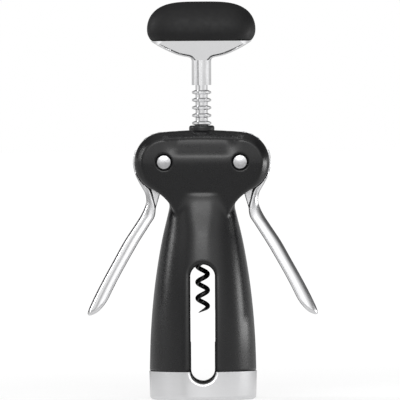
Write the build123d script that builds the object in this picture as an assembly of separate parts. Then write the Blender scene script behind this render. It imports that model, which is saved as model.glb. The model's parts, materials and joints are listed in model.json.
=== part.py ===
from build123d import *

import math
import os

# Wing corkscrew: millimetres, +Z up, the foot stands on z = 0 and the front faces -Y.

os.makedirs("parts", exist_ok=True)

# --- fits -------------------------------------------------------------------
RUNNING_CLEARANCE = 0.05       # radial play of a shaft that turns or slides in its bore
SIDE_PLAY = 0.05               # axial play on each face of a thrust washer
SWEEP_CLEARANCE = 0.5          # air left round a part that swings past another

# --- pivots, gears and rack -------------------------------------------------
PIVOT_X = 18.25                # half the distance between the two wing pivots
PIVOT_Z = 114.0                # height of the wing pivots
RACK_PITCH = 3.70              # spacing of the rings of the annular rack
RING_RADIUS = 4.65
RACK_CORE_RADIUS = 2.95
RING_TIP_WIDTH = 0.9
MESH_DEPTH = 0.85              # overlap of a wing tooth and a ring, seen along the rack
PRESSURE_ANGLE = 20.0
BACKLASH = 0.30
ROOT_CLEARANCE = 0.35          # air under a ring in the gap between two wing teeth
RINGS_ABOVE_PIVOT = 9
RINGS_BELOW_PIVOT = 2
TEETH_ABOVE_MESH = 9           # wing teeth on the side that comes into mesh as the arms rise
TEETH_BELOW_MESH = 2
RACK_TRAVEL = 31.0             # spindle travel from arms down to arms raised

# --- body -------------------------------------------------------------------
FOOT_HEIGHT = 13.7             # the metal foot ring
SHELL_FOOT_RADIUS = 25.6
SHELL_LOW_RADIUS = 25.1
SHELL_LOW_Z = 30.0
SHELL_MID_RADIUS = 22.6
SHELL_MID_Z = 57.2
SHELL_HIGH_RADIUS = 19.4
SHELL_HIGH_Z = 76.4
NECK_HALF_WIDTH = 15.4         # where the cheeks meet the cone
NECK_Z = 93.7
CONE_TOP_RADIUS = 14.4
CONE_TOP_Z = 99.0
SHELL_EDGE_ROUND = 0.9
CHEEK_RADIUS = 14.2            # round ends of the head, about the pivots
CHEEK_DEPTH = 30.0             # front face to back face
CHEEK_BEVEL = 3.5              # width of the sloped band round each face
CHEEK_BEVEL_DEPTH = 4.5
CROWN_Z = 129.15
CROWN_LEAVE_ANGLE = 84.0       # where the crown leaves the round end
NECK_LEAVE_ANGLE = -65.0       # where the underside leaves the round end
TONGUE_BOTTOM_Z = 84.0         # the cheeks run down into the cone to this height
TONGUE_BOTTOM_HALF = 9.7

# --- inside the body --------------------------------------------------------
SPINDLE_BORE_CLEARANCE = 0.3   # rings to the guiding bore in the neck
BELL_RADIUS = 20.0             # hollow above the foot
BOTTLE_STOP_Z = 40.0           # ledge that the bottle lip meets
STOP_RADIUS = 12.8
SHAFT_WELL_Z = 84.0            # top of the taper over the ledge
SHAFT_WELL_RADIUS = 7.5
WINDOW_WIDTH = 11.8
WINDOW_BOTTOM_Z = 8.2
WINDOW_TOP_Z = 65.0
WINDOW_RIM_ROUND = 1.6
WING_SLOT = 8.0                # gap between the cheeks
WING_GATE_X = 0.8              # the slot is open below from this far outside the pivot
WING_GATE = 8.0                # half height of that opening, about the lowest of the round end

# --- foot ring and bottle guide ---------------------------------------------
FOOT_TOP_RADIUS = 25.8
FOOT_BASE_RADIUS = 25.5
FOOT_CORNER_ROUND = 1.9
FOOT_RIM_ROUND = 1.2
FOOT_FLOOR = 4.0               # thickness of the ring under the spigot
SPIGOT_RADIUS = 22.2
GUIDE_BORE_RADIUS = 15.5       # takes the lip of a wine bottle, about 30 mm across
GUIDE_WALL = 2.5
GUIDE_TOP_Z = 27.0
GUIDE_FLANGE = 2.5
GUIDE_RECESS = 0.6             # the guide stops short of the foot's lower face
GUIDE_LEAD_IN = 1.5
GUIDE_WINDOW_STEP = 0.2        # the guide's window is narrower by this on each side

# --- collar bush ------------------------------------------------------------
BUSH_FLANGE_RADIUS = 6.1
BUSH_TOP_Z = 131.4
BUSH_SEAT_Z = 129.0
BUSH_SLEEVE_RADIUS = 5.45
BUSH_WALL_BOTTOM_Z = 124.6
BUSH_LIP_RADIUS = 5.75
BUSH_LIP = 0.9
BUSH_CROWN_ROUND = 1.1

# --- spindle, knob ----------------------------------------------------------
STEM_RADIUS = 4.7
STEM_NECK = 3.5                # from the middle of the top ring up to the end of the stem
SOCKET_DEPTH = 4.3             # how far the rack rod reaches into the fan
KNOB_STOP_GAP = 0.3            # air between the collar and the fan with the arms raised
FAN_HEIGHT = 9.3
FAN_TOP_HALF = 24.3
FAN_BELLY_X = 14.8             # the underside of the fan, seen from the front
FAN_BELLY_RISE = 4.0
FAN_THROAT_X = 7.5
FAN_THROAT_RISE = 1.7
FAN_TOP_DEPTH = 21.0           # between the sloped front and back faces, under the grip
FAN_EDGE_ROUND = 3.4
GRIP_END_X = 12.05             # centres of the round ends of the grip
GRIP_RADIUS = 14.0
GRIP_TUCK = 5.7                # from the foot of the grip up to its widest line
GRIP_DOME = 13.2               # from the widest line to the top
GRIP_FOOT_RADIUS = 12.4
CORE_RADIUS = 9.0
CORE_COVER = 9.9               # thickness of the grip over the core
SCREW_X = 12.0
SCREW_RADIUS = 1.5
SCREW_HEAD_RADIUS = 2.8
SCREW_HEAD = 2.0
SCREW_SINK = 4.0               # the heads lie this far below the top of the core
SCREW_REACH = 3.0              # thread length in the bracket

# --- worm -------------------------------------------------------------------
WIRE_RADIUS = 1.15
WORM_RADIUS = 3.55
WORM_PITCH = 7.7
WORM_TIP_Z = 41.6
WORM_PEAK_Z = 44.6             # height at which the lowest turn is furthest to +X
WORM_POINT_TURN = 0.4          # length of the ground point, in turns
WORM_POINT_RADIUS = 0.2
WORM_HELIX_TOP_Z = 84.0
WORM_SHANK_BOTTOM_Z = 89.0
WORM_SHANK_TOP_Z = 110.0
RACK_BOTTOM_Z = 98.0
WORM_PIN_Z = 101.5
WORM_PIN_RADIUS = 0.75

# --- wings ------------------------------------------------------------------
HUB_WIDTH = 6.9
HUB_BAND_RADIUS = 14.9         # smooth back of the hub, just proud of the cheeks
HUB_BAND_TOP_ANGLE = 22.0
SHOULDER_RADIUS = 14.85        # concave shoulders of the arm, concentric with the pivot
ARM_WIDTH = 14.0
ARM_EDGE_SHARE = 0.42          # rounding of the arm's long edges, as a share of its thickness
ARM_CORNER_ROUND = 5.0         # corners of the tip, seen from the side
HUB_BAND_LOW_ANGLE = -73.0
# web that joins the hub to the arm, from the pivot: x, z
HUB_WEB = ((1.0, -12.0), (2.1, -16.5), (2.95, -18.6), (4.5, -23.0), (9.0, -21.0), (10.5, -11.0))
# centre line of the arm from the pivot: x, z, thickness
ARM_STATIONS = ((9.87, -6.2, 7.0), (7.35, -10.9, 7.0), (5.8, -18.2, 5.65), (7.9, -26.1, 6.1),
                (13.0, -34.0, 6.2), (18.15, -42.4, 6.25), (23.5, -52.0, 6.25),
                (28.6, -61.6, 6.3), (33.3, -70.7, 6.3), (36.6, -77.4, 6.3))
ARM_TIP_X = 37.9               # outer corner of the tip before it is rounded
ARM_TIP_Z = -75.2
ARM_TIP_SLANT = 23.0           # slope of the end of the arm
ARM_TIP_LEAN = 12.0            # lean of the outer side just above the tip
ARM_TIP_ROUND = 1.5
ARM_END_Z = -74.4
WASHER_RADIUS = 7.0

# --- rivets -----------------------------------------------------------------
RIVET_RADIUS = 2.5
RIVET_HEAD_RADIUS = 3.15
RIVET_RECESS_RADIUS = 3.85
RIVET_RECESS_DEPTH = 1.8
RIVET_HEAD = 1.3
RIVET_DOME = 0.4
RIVET_SPLIT_Y = 8.0            # where the rear half of the rivet begins
RIVET_SPIGOT_RADIUS = 1.4
RIVET_SPIGOT = 4.0

# --- worked out from the sizes above ----------------------------------------
PITCH_RADIUS = PIVOT_X - RING_RADIUS + MESH_DEPTH / 2
GEAR_TIP_RADIUS = PIVOT_X - RING_RADIUS + MESH_DEPTH
GEAR_ROOT_RADIUS = PIVOT_X - RING_RADIUS - ROOT_CLEARANCE
TOOTH_STEP = RACK_PITCH / PITCH_RADIUS
RING_FLARE = math.tan(math.radians(PRESSURE_ANGLE))
RING_PITCH_WIDTH = RING_TIP_WIDTH + MESH_DEPTH * RING_FLARE
TOOTH_WIDTH = RACK_PITCH - RING_PITCH_WIDTH - BACKLASH
SPINDLE_BORE_RADIUS = RING_RADIUS + SPINDLE_BORE_CLEARANCE
WING_CAVITY_RADIUS = HUB_BAND_RADIUS + SWEEP_CLEARANCE
FACE_Y = CHEEK_DEPTH / 2
WASHER_THICKNESS = (WING_SLOT - HUB_WIDTH) / 2 - 2 * SIDE_PLAY
WORM_HELIX_RADIUS = WORM_RADIUS - WIRE_RADIUS
STEM_BOTTOM_Z = PIVOT_Z + RINGS_ABOVE_PIVOT * RACK_PITCH + STEM_NECK
FAN_BOTTOM_Z = BUSH_TOP_Z + RACK_TRAVEL + KNOB_STOP_GAP
STEM_SOCKET_Z = FAN_BOTTOM_Z + SOCKET_DEPTH
FAN_TOP_Z = FAN_BOTTOM_Z + FAN_HEIGHT
GRIP_WIDEST_Z = FAN_TOP_Z + GRIP_TUCK
GRIP_TOP_Z = GRIP_WIDEST_Z + GRIP_DOME
CORE_TOP_Z = GRIP_TOP_Z - CORE_COVER


def polar(radius, angle):
    """A point on the front plane, from the pivot, at an angle above +X in degrees."""
    return (radius * math.cos(math.radians(angle)), radius * math.sin(math.radians(angle)))


def front_plane(y):
    """The X-Z plane at depth y, so that a sketch on it reads as seen from the front."""
    return Plane(origin=(0, y, 0), x_dir=(1, 0, 0), z_dir=(0, -1, 0))


def front_slab(face, width):
    """A front-plane face made into a slab centred on y = 0."""
    return extrude(front_plane(width / 2) * face, amount=width)


def turned(points):
    """A solid of revolution about Z from (radius, height) points."""
    outline = Plane.XZ * make_face(Polyline(*points, close=True))
    return revolve(outline, Axis.Z)


def rod(radius, bottom, top, x=0.0, y=0.0):
    """An upright cylinder between two heights."""
    return Pos(x, y, bottom) * Cylinder(
        radius, top - bottom, align=(Align.CENTER, Align.CENTER, Align.MIN))


def cross_rod(radius, y_front, y_back, x, z):
    """A cylinder along Y between two depths."""
    face = Pos(x, z) * Circle(radius)
    return extrude(front_plane(y_back) * face, amount=y_back - y_front)


def mirrored(part):
    """The same piece on the other side of the centre plane."""
    return mirror(part, Plane.YZ)


# --- body -------------------------------------------------------------------
def window_cut(width):
    """The see-through slot with round ends."""
    height = WINDOW_TOP_Z - WINDOW_BOTTOM_Z
    slot = Pos(0, (WINDOW_TOP_Z + WINDOW_BOTTOM_Z) / 2) * SlotOverall(height, width, rotation=90)
    return front_slab(slot, 4 * SHELL_FOOT_RADIUS)


def slotted(blank, rim_round):
    """A round blank with the see-through slot cut in it and both its rims rolled."""
    blank = blank - window_cut(WINDOW_WIDTH)
    reach = (WINDOW_WIDTH + RUNNING_CLEARANCE) / 2
    rim = [edge for edge in blank.edges() if abs((edge @ 0.5).X) < reach < abs((edge @ 0.5).Y)]
    return fillet(rim, rim_round)


def cone():
    """The flared lower body, with its spigot for the foot ring."""
    side = Spline((SHELL_FOOT_RADIUS, FOOT_HEIGHT), (SHELL_LOW_RADIUS, SHELL_LOW_Z),
                  (SHELL_MID_RADIUS, SHELL_MID_Z), (SHELL_HIGH_RADIUS, SHELL_HIGH_Z),
                  (NECK_HALF_WIDTH, NECK_Z), (CONE_TOP_RADIUS, CONE_TOP_Z),
                  tangents=((0, 1), (CONE_TOP_RADIUS - NECK_HALF_WIDTH, CONE_TOP_Z - NECK_Z)))
    rest = Polyline((CONE_TOP_RADIUS, CONE_TOP_Z), (0, CONE_TOP_Z), (0, 0), (SHELL_FOOT_RADIUS, 0),
                    (SHELL_FOOT_RADIUS, FOOT_HEIGHT))
    flare = slotted(revolve(Plane.XZ * make_face(side + rest), Axis.Z), WINDOW_RIM_ROUND)
    edge_z = FOOT_HEIGHT + SHELL_EDGE_ROUND
    edge = TangentArc((SHELL_FOOT_RADIUS, edge_z), (SHELL_FOOT_RADIUS - SHELL_EDGE_ROUND, FOOT_HEIGHT),
                      tangent=(0, -1))
    envelope = Polyline((SHELL_FOOT_RADIUS - SHELL_EDGE_ROUND, FOOT_HEIGHT), (0, FOOT_HEIGHT),
                        (0, CONE_TOP_Z), (2 * SHELL_FOOT_RADIUS, CONE_TOP_Z),
                        (2 * SHELL_FOOT_RADIUS, edge_z), (SHELL_FOOT_RADIUS, edge_z))
    flare &= revolve(Plane.XZ * make_face(edge + envelope), Axis.Z)
    spigot = rod(SPIGOT_RADIUS, FOOT_FLOOR, edge_z)
    return flare + spigot - window_cut(WINDOW_WIDTH)


def head_outline():
    """Front outline of the cheeks: round ends, crowned top and a tongue into the cone."""
    crown = Vector(PIVOT_X, PIVOT_Z) + Vector(*polar(CHEEK_RADIUS, CROWN_LEAVE_ANGLE))
    side = Vector(PIVOT_X, PIVOT_Z) + Vector(*polar(CHEEK_RADIUS, 0))
    under = Vector(PIVOT_X, PIVOT_Z) + Vector(*polar(CHEEK_RADIUS, NECK_LEAVE_ANGLE))
    under_way = Vector(*polar(1, NECK_LEAVE_ANGLE - 90))
    neck = (NECK_HALF_WIDTH, NECK_Z)
    right = ThreePointArc(crown, side, under)
    blend = TangentArc(under, neck, tangent=under_way)
    tongue = Polyline(neck, (TONGUE_BOTTOM_HALF, TONGUE_BOTTOM_Z), (0, TONGUE_BOTTOM_Z))
    half = right + blend + tongue
    top = ThreePointArc(crown, (0, CROWN_Z), (-crown.X, crown.Y))
    return make_face(half + top + mirror(half, Plane.YZ))


def head():
    """The two cheeks as one block, bevelled round its front and back faces."""
    block = front_slab(head_outline(), CHEEK_DEPTH)
    ends = block.faces().sort_by(Axis.Y)
    rim = ends[0].edges() + ends[-1].edges()
    return chamfer(rim, CHEEK_BEVEL, CHEEK_BEVEL_DEPTH)


def body_shell():
    """The black body: cone, cheeks, wing slots, bell and window."""
    shell = cone() + head()
    shell -= rod(BELL_RADIUS, 0, BOTTLE_STOP_Z)
    shell -= turned([(0, BOTTLE_STOP_Z), (STOP_RADIUS, BOTTLE_STOP_Z),
                     (SHAFT_WELL_RADIUS, SHAFT_WELL_Z), (0, SHAFT_WELL_Z)])
    shell -= rod(SPINDLE_BORE_RADIUS, SHAFT_WELL_Z, BUSH_WALL_BOTTOM_Z)
    shell -= rod(BUSH_LIP_RADIUS + SPINDLE_BORE_CLEARANCE, PIVOT_Z, BUSH_WALL_BOTTOM_Z)
    shell -= rod(BUSH_SLEEVE_RADIUS + RUNNING_CLEARANCE, BUSH_WALL_BOTTOM_Z, CROWN_Z)
    shell -= rod(BUSH_FLANGE_RADIUS + SWEEP_CLEARANCE, BUSH_SEAT_Z, BUSH_TOP_Z)
    gate = Pos(PIVOT_X + WING_GATE_X + CHEEK_RADIUS / 2, PIVOT_Z - CHEEK_RADIUS) * Rectangle(
        CHEEK_RADIUS, 2 * WING_GATE)
    gate = front_slab(gate, WING_SLOT)
    shell -= gate + mirrored(gate)
    half_slot = WING_SLOT / 2
    for x in (-PIVOT_X, PIVOT_X):
        shell -= cross_rod(WING_CAVITY_RADIUS, -half_slot, half_slot, x, PIVOT_Z)
        shell -= cross_rod(RIVET_RADIUS, -FACE_Y, FACE_Y, x, PIVOT_Z)
        shell -= cross_rod(RIVET_RECESS_RADIUS, -FACE_Y, RIVET_RECESS_DEPTH - FACE_Y, x, PIVOT_Z)
        shell -= cross_rod(RIVET_RECESS_RADIUS, FACE_Y - RIVET_RECESS_DEPTH, FACE_Y, x, PIVOT_Z)
    return shell


def base_ring():
    """The metal foot ring, pushed on to the spigot of the body."""
    height = WINDOW_TOP_Z + WINDOW_WIDTH
    spread = (FOOT_TOP_RADIUS - FOOT_BASE_RADIUS) / FOOT_HEIGHT
    blank = turned([(0, 0), (FOOT_BASE_RADIUS, 0), (FOOT_BASE_RADIUS + height * spread, height),
                    (0, height)])
    ring = slotted(blank, FOOT_RIM_ROUND) & rod(2 * FOOT_BASE_RADIUS, 0, FOOT_HEIGHT)
    corner = ring.edges().filter_by(GeomType.CIRCLE).group_by(Axis.Z)[0]
    ring = fillet(corner, FOOT_CORNER_ROUND)
    ring -= rod(SPIGOT_RADIUS, FOOT_FLOOR, FOOT_HEIGHT)
    return ring - rod(GUIDE_BORE_RADIUS + GUIDE_WALL, 0, FOOT_FLOOR)


def bottle_guide():
    """The liner that centres the bottle neck, with a flange in the bell of the body."""
    outer = GUIDE_BORE_RADIUS + GUIDE_WALL
    guide = turned([(GUIDE_BORE_RADIUS + GUIDE_LEAD_IN, GUIDE_RECESS), (outer, GUIDE_RECESS),
                    (outer, GUIDE_TOP_Z - GUIDE_FLANGE),
                    (BELL_RADIUS - RUNNING_CLEARANCE, GUIDE_TOP_Z - GUIDE_FLANGE),
                    (BELL_RADIUS - RUNNING_CLEARANCE, GUIDE_TOP_Z),
                    (GUIDE_BORE_RADIUS, GUIDE_TOP_Z),
                    (GUIDE_BORE_RADIUS, GUIDE_RECESS + GUIDE_LEAD_IN)])
    return guide - window_cut(WINDOW_WIDTH - 2 * GUIDE_WINDOW_STEP)


def collar_bush():
    """The bush that guides the stem and turns with it, snapped into the top of the head."""
    bore = STEM_RADIUS + RUNNING_CLEARANCE
    lip_top = BUSH_WALL_BOTTOM_Z - RUNNING_CLEARANCE
    bush = turned([(bore, lip_top - BUSH_LIP), (BUSH_SLEEVE_RADIUS, lip_top - BUSH_LIP),
                   (BUSH_LIP_RADIUS, lip_top), (BUSH_SLEEVE_RADIUS, lip_top),
                   (BUSH_SLEEVE_RADIUS, BUSH_SEAT_Z + RUNNING_CLEARANCE),
                   (BUSH_FLANGE_RADIUS, BUSH_SEAT_Z + RUNNING_CLEARANCE),
                   (BUSH_FLANGE_RADIUS, BUSH_TOP_Z), (bore, BUSH_TOP_Z)])
    crown = bush.edges().filter_by(GeomType.CIRCLE).group_by(Axis.Z)[-1].sort_by(SortBy.RADIUS)[-1]
    return fillet(crown, BUSH_CROWN_ROUND)


# --- spindle ----------------------------------------------------------------
def rack_spindle():
    """Round rod with the rings that the wing teeth pull on."""
    half_tip = RING_TIP_WIDTH / 2
    half_root = half_tip + (RING_RADIUS - RACK_CORE_RADIUS) * RING_FLARE
    points = [(0, RACK_BOTTOM_Z), (RACK_CORE_RADIUS, RACK_BOTTOM_Z)]
    for ring in range(-RINGS_BELOW_PIVOT, RINGS_ABOVE_PIVOT + 1):
        z = PIVOT_Z + ring * RACK_PITCH
        points += [(RACK_CORE_RADIUS, z - half_root), (RING_RADIUS, z - half_tip),
                   (RING_RADIUS, z + half_tip), (RACK_CORE_RADIUS, z + half_root)]
    points += [(RACK_CORE_RADIUS, STEM_SOCKET_Z), (0, STEM_SOCKET_Z)]
    rack = turned(points) - rod(WIRE_RADIUS, RACK_BOTTOM_Z, WORM_SHANK_TOP_Z)
    return rack - cross_rod(WORM_PIN_RADIUS, -RING_RADIUS, RING_RADIUS, 0, WORM_PIN_Z)


def worm_helix(bottom, top):
    """A stretch of the centre line of the worm, right handed."""
    start = 360 * (bottom - WORM_PEAK_Z) / WORM_PITCH
    line = Helix(pitch=WORM_PITCH, height=top - bottom, radius=WORM_HELIX_RADIUS)
    return Pos(0, 0, bottom) * Rot(0, 0, start) * line


def worm():
    """Coated helix of open turns with a ground point and a straight shank."""
    point_top = WORM_TIP_Z + WORM_POINT_TURN * WORM_PITCH
    turns = worm_helix(point_top, WORM_HELIX_TOP_Z)
    wire = sweep(Plane(turns @ 0, z_dir=turns % 0) * Circle(WIRE_RADIUS), path=turns, is_frenet=True)
    tip = worm_helix(WORM_TIP_Z, point_top)
    point = sweep([Plane(tip @ 0, z_dir=tip % 0) * Circle(WORM_POINT_RADIUS),
                   Plane(tip @ 1, z_dir=tip % 1) * Circle(WIRE_RADIUS)],
                  path=tip, multisection=True, is_frenet=True)
    leave = turns @ 1
    lead = Spline(leave, (0, 0, WORM_SHANK_BOTTOM_Z), tangents=(turns % 1, (0, 0, 1)))
    neck = sweep(Plane(leave, z_dir=turns % 1) * Circle(WIRE_RADIUS), path=lead)
    shank = rod(WIRE_RADIUS, WORM_SHANK_BOTTOM_Z, WORM_SHANK_TOP_Z)
    coil = wire + point + neck + shank
    return coil - cross_rod(WORM_PIN_RADIUS, -WIRE_RADIUS, WIRE_RADIUS, 0, WORM_PIN_Z)


def worm_pin():
    """Cross pin through the rack and the shank of the worm."""
    return cross_rod(WORM_PIN_RADIUS, -RACK_CORE_RADIUS, RACK_CORE_RADIUS, 0, WORM_PIN_Z)


def knob_bracket():
    """Fan-shaped casting under the grip, running into the round stem."""
    side = Spline((FAN_TOP_HALF, FAN_TOP_Z), (FAN_BELLY_X, FAN_BOTTOM_Z + FAN_BELLY_RISE),
                  (FAN_THROAT_X, FAN_BOTTOM_Z + FAN_THROAT_RISE), (STEM_RADIUS, FAN_BOTTOM_Z),
                  tangents=((-1, -0.7), (0, -1)))
    foot = Line((STEM_RADIUS, FAN_BOTTOM_Z), (-STEM_RADIUS, FAN_BOTTOM_Z))
    top = Line((-FAN_TOP_HALF, FAN_TOP_Z), (FAN_TOP_HALF, FAN_TOP_Z))
    fan = front_slab(make_face(side + foot + mirror(side, Plane.YZ) + top), FAN_TOP_DEPTH)
    half = FAN_TOP_DEPTH / 2
    flank = Polyline((STEM_RADIUS, FAN_BOTTOM_Z), (half, FAN_TOP_Z), (-half, FAN_TOP_Z),
                     (-STEM_RADIUS, FAN_BOTTOM_Z), close=True)
    fan &= extrude(Plane.YZ * make_face(flank), amount=FAN_TOP_HALF, both=True)
    lower = [edge for edge in fan.edges()
             if abs((edge @ 0.5).Y) > STEM_RADIUS and abs((edge @ 0.5).X) > STEM_RADIUS
             and (edge @ 0.5).Z < FAN_TOP_Z - FAN_THROAT_RISE]
    fan = fillet(lower, FAN_EDGE_ROUND)
    fan &= oblong(GRIP_FOOT_RADIUS, FAN_BOTTOM_Z, FAN_TOP_Z)
    fan += rod(STEM_RADIUS, STEM_BOTTOM_Z, FAN_BOTTOM_Z + SOCKET_DEPTH)
    fan -= rod(RACK_CORE_RADIUS, STEM_BOTTOM_Z, STEM_SOCKET_Z)
    for x in (-SCREW_X, SCREW_X):
        fan -= rod(SCREW_RADIUS, FAN_TOP_Z - SCREW_REACH, FAN_TOP_Z, x)
    return fan


def oblong(radius, bottom, top):
    """An upright block with the plan of the knob, at a given end radius."""
    plan = SlotCenterToCenter(2 * GRIP_END_X, 2 * radius)
    return extrude(Plane.XY.offset(bottom) * plan, amount=top - bottom)


def knob_core():
    """Hard core that the grip is moulded on."""
    core = oblong(CORE_RADIUS, FAN_TOP_Z, CORE_TOP_Z)
    for x in (-SCREW_X, SCREW_X):
        core -= rod(SCREW_RADIUS, FAN_TOP_Z, CORE_TOP_Z, x)
        core -= rod(SCREW_HEAD_RADIUS, CORE_TOP_Z - SCREW_SINK - SCREW_HEAD, CORE_TOP_Z, x)
    return core


def knob_screws():
    """Two pan-head screws from the core into the bracket."""
    head_top = CORE_TOP_Z - SCREW_SINK
    screw = rod(SCREW_HEAD_RADIUS, head_top - SCREW_HEAD, head_top, SCREW_X)
    screw += rod(SCREW_RADIUS, FAN_TOP_Z - SCREW_REACH, head_top, SCREW_X)
    return Compound([screw, mirrored(screw)])


def knob_grip():
    """Soft oblong grip: a domed profile carried round two half-circle ends."""
    dome = EllipticalCenterArc((0, GRIP_WIDEST_Z), GRIP_RADIUS, GRIP_TOP_Z - GRIP_WIDEST_Z,
                               start_angle=0, arc_size=90)
    tuck = TangentArc((GRIP_RADIUS, GRIP_WIDEST_Z), (GRIP_FOOT_RADIUS, FAN_TOP_Z), tangent=(0, -1))
    inside = Polyline((GRIP_FOOT_RADIUS, FAN_TOP_Z), (0, FAN_TOP_Z), (0, GRIP_TOP_Z))
    profile = make_face(dome + tuck + inside)
    end = Pos(GRIP_END_X, 0, 0) * revolve(Plane.XZ * profile, Axis.Z)
    half_middle = extrude(Plane.YZ * profile, amount=GRIP_END_X, both=True)
    middle = half_middle + mirror(half_middle, Plane.XZ)
    return end + mirrored(end) + middle - oblong(CORE_RADIUS, FAN_TOP_Z, CORE_TOP_Z)


# --- wings ------------------------------------------------------------------
def involute(radius, base_radius):
    """Involute function of the pressure angle at a radius."""
    angle = math.acos(base_radius / radius)
    return math.tan(angle) - angle


def tooth(centre_angle):
    """One wing tooth, from inside the root circle to its tip."""
    base_radius = PITCH_RADIUS * math.cos(math.radians(PRESSURE_ANGLE))
    pitch_half = TOOTH_WIDTH / (2 * PITCH_RADIUS) + involute(PITCH_RADIUS, base_radius)
    flank = []
    for radius in (GEAR_ROOT_RADIUS, PITCH_RADIUS, GEAR_TIP_RADIUS):
        half = math.degrees(pitch_half - involute(radius, base_radius))
        flank.append((radius, half))
    sunk = (GEAR_ROOT_RADIUS - ROOT_CLEARANCE, flank[0][1])
    right = [polar(r, centre_angle - half) for r, half in [sunk] + flank]
    left = [polar(r, centre_angle + half) for r, half in reversed([sunk] + flank)]
    return make_face(Polyline(*right, *left, close=True))


def hub_face():
    """The geared hub of the right wing about its pivot, as a front-plane face."""
    face = Sketch() + Circle(GEAR_ROOT_RADIUS)
    for step in range(-TEETH_BELOW_MESH, TEETH_ABOVE_MESH):
        face += tooth(180 - math.degrees(TOOTH_STEP) * (step + 0.5))
    band_end = polar(HUB_BAND_RADIUS, HUB_BAND_TOP_ANGLE)
    band_mid = polar(HUB_BAND_RADIUS, (HUB_BAND_TOP_ANGLE + HUB_BAND_LOW_ANGLE) / 2)
    band_low = polar(HUB_BAND_RADIUS, HUB_BAND_LOW_ANGLE)
    band = make_face(ThreePointArc(band_end, band_mid, band_low) + Polyline(band_low, (0, 0), band_end))
    return face + band + make_face(Polyline(*HUB_WEB, close=True))


def arm_outline():
    """Front outline that the arm is trimmed to: a slanted end with a round outer corner."""
    top = ARM_WIDTH
    outer = ARM_TIP_X - (top - ARM_TIP_Z) * math.tan(math.radians(ARM_TIP_LEAN))
    inner_z = ARM_TIP_Z + 2 * ARM_TIP_X * math.tan(math.radians(ARM_TIP_SLANT))
    corner = (ARM_TIP_X, ARM_TIP_Z)
    face = make_face(Polyline(corner, (outer, top), (-ARM_TIP_X, top), (-ARM_TIP_X, inner_z), close=True))
    return fillet(face.vertices().group_by(Axis.Y)[0], ARM_TIP_ROUND)


def arm():
    """The lever outside the head, lofted through rounded sections along its centre line."""
    sections = []
    before = ARM_STATIONS[:1] + ARM_STATIONS[:-1]
    after = ARM_STATIONS[1:] + ARM_STATIONS[-1:]
    for last, (x, z, thickness), following in zip(before, ARM_STATIONS, after):
        along = (following[0] - last[0], 0, following[1] - last[1])
        plane = Plane(origin=(x, 0, z), x_dir=(0, 1, 0), z_dir=along)
        section = RectangleRounded(ARM_WIDTH, thickness, ARM_EDGE_SHARE * thickness)
        sections.append(plane * section)
    lever = loft(sections) & front_slab(arm_outline(), 2 * ARM_WIDTH)
    top = ARM_STATIONS[0][1] + ARM_WIDTH
    plan = Pos(0, (top + ARM_END_Z) / 2) * RectangleRounded(
        ARM_WIDTH + RUNNING_CLEARANCE, top - ARM_END_Z, ARM_CORNER_ROUND)
    return lever & extrude(Plane.YZ * plan, amount=PIVOT_Z)


def wing():
    """Right wing: wide lever with concave shoulders, and a narrow geared hub."""
    piece = arm() - cross_rod(SHOULDER_RADIUS, -ARM_WIDTH, ARM_WIDTH, 0, 0)
    piece += front_slab(hub_face(), HUB_WIDTH)
    piece -= cross_rod(RIVET_RADIUS + RUNNING_CLEARANCE, -HUB_WIDTH, HUB_WIDTH, 0, 0)
    return Pos(PIVOT_X, 0, PIVOT_Z) * piece


def thrust_washers():
    """The two nylon washers of the right pivot."""
    inner = HUB_WIDTH / 2 + SIDE_PLAY
    outer = inner + WASHER_THICKNESS
    ring = cross_rod(WASHER_RADIUS, inner, outer, PIVOT_X, PIVOT_Z)
    ring -= cross_rod(RIVET_RADIUS + RUNNING_CLEARANCE, inner, outer, PIVOT_X, PIVOT_Z)
    return Compound([ring, mirror(ring, Plane.XZ)])


def domed_head(seat):
    """Rivet head on the front face, slightly domed, standing in its recess."""
    disc = cross_rod(RIVET_HEAD_RADIUS, seat - RIVET_HEAD, seat, PIVOT_X, PIVOT_Z)
    ball_radius = (RIVET_HEAD_RADIUS ** 2 + RIVET_DOME ** 2) / (2 * RIVET_DOME)
    ball = Pos(PIVOT_X, seat - RIVET_HEAD - RIVET_DOME + ball_radius, PIVOT_Z) * Sphere(ball_radius)
    cap = cross_rod(RIVET_HEAD_RADIUS, seat - RIVET_HEAD - RIVET_DOME, seat, PIVOT_X, PIVOT_Z) & ball
    return disc + cap


def pivot_rivet():
    """Front half of the right rivet: head, pivot shank and spigot."""
    seat = RIVET_RECESS_DEPTH - FACE_Y
    rivet = domed_head(seat)
    rivet += cross_rod(RIVET_RADIUS, seat, RIVET_SPLIT_Y, PIVOT_X, PIVOT_Z)
    return rivet + cross_rod(RIVET_SPIGOT_RADIUS, RIVET_SPLIT_Y, RIVET_SPLIT_Y + RIVET_SPIGOT,
                             PIVOT_X, PIVOT_Z)


def rivet_cap():
    """Rear half of the right rivet, pressed on to the spigot."""
    seat = FACE_Y - RIVET_RECESS_DEPTH
    cap = mirror(domed_head(-seat), Plane.XZ)
    cap += cross_rod(RIVET_RADIUS, RIVET_SPLIT_Y, seat, PIVOT_X, PIVOT_Z)
    return cap - cross_rod(RIVET_SPIGOT_RADIUS, RIVET_SPLIT_Y, RIVET_SPLIT_Y + RIVET_SPIGOT,
                           PIVOT_X, PIVOT_Z)


nodes = {
    "body_shell": body_shell(),
    "base_ring": base_ring(),
    "bottle_guide": bottle_guide(),
    "collar_bush": collar_bush(),
    "rack_spindle": rack_spindle(),
    "worm": worm(),
    "worm_pin": worm_pin(),
    "knob_bracket": knob_bracket(),
    "knob_core": knob_core(),
    "knob_screws": knob_screws(),
    "knob_grip": knob_grip(),
}
paired = {
    "wing": wing(),
    "thrust_washers": thrust_washers(),
    "pivot_rivet": pivot_rivet(),
    "rivet_cap": rivet_cap(),
}
for name, right in paired.items():
    nodes[name + "_right"] = right
    nodes[name + "_left"] = mirrored(right)

for name, shape in nodes.items():
    export_step(shape, f"parts/{name}.step")
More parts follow.
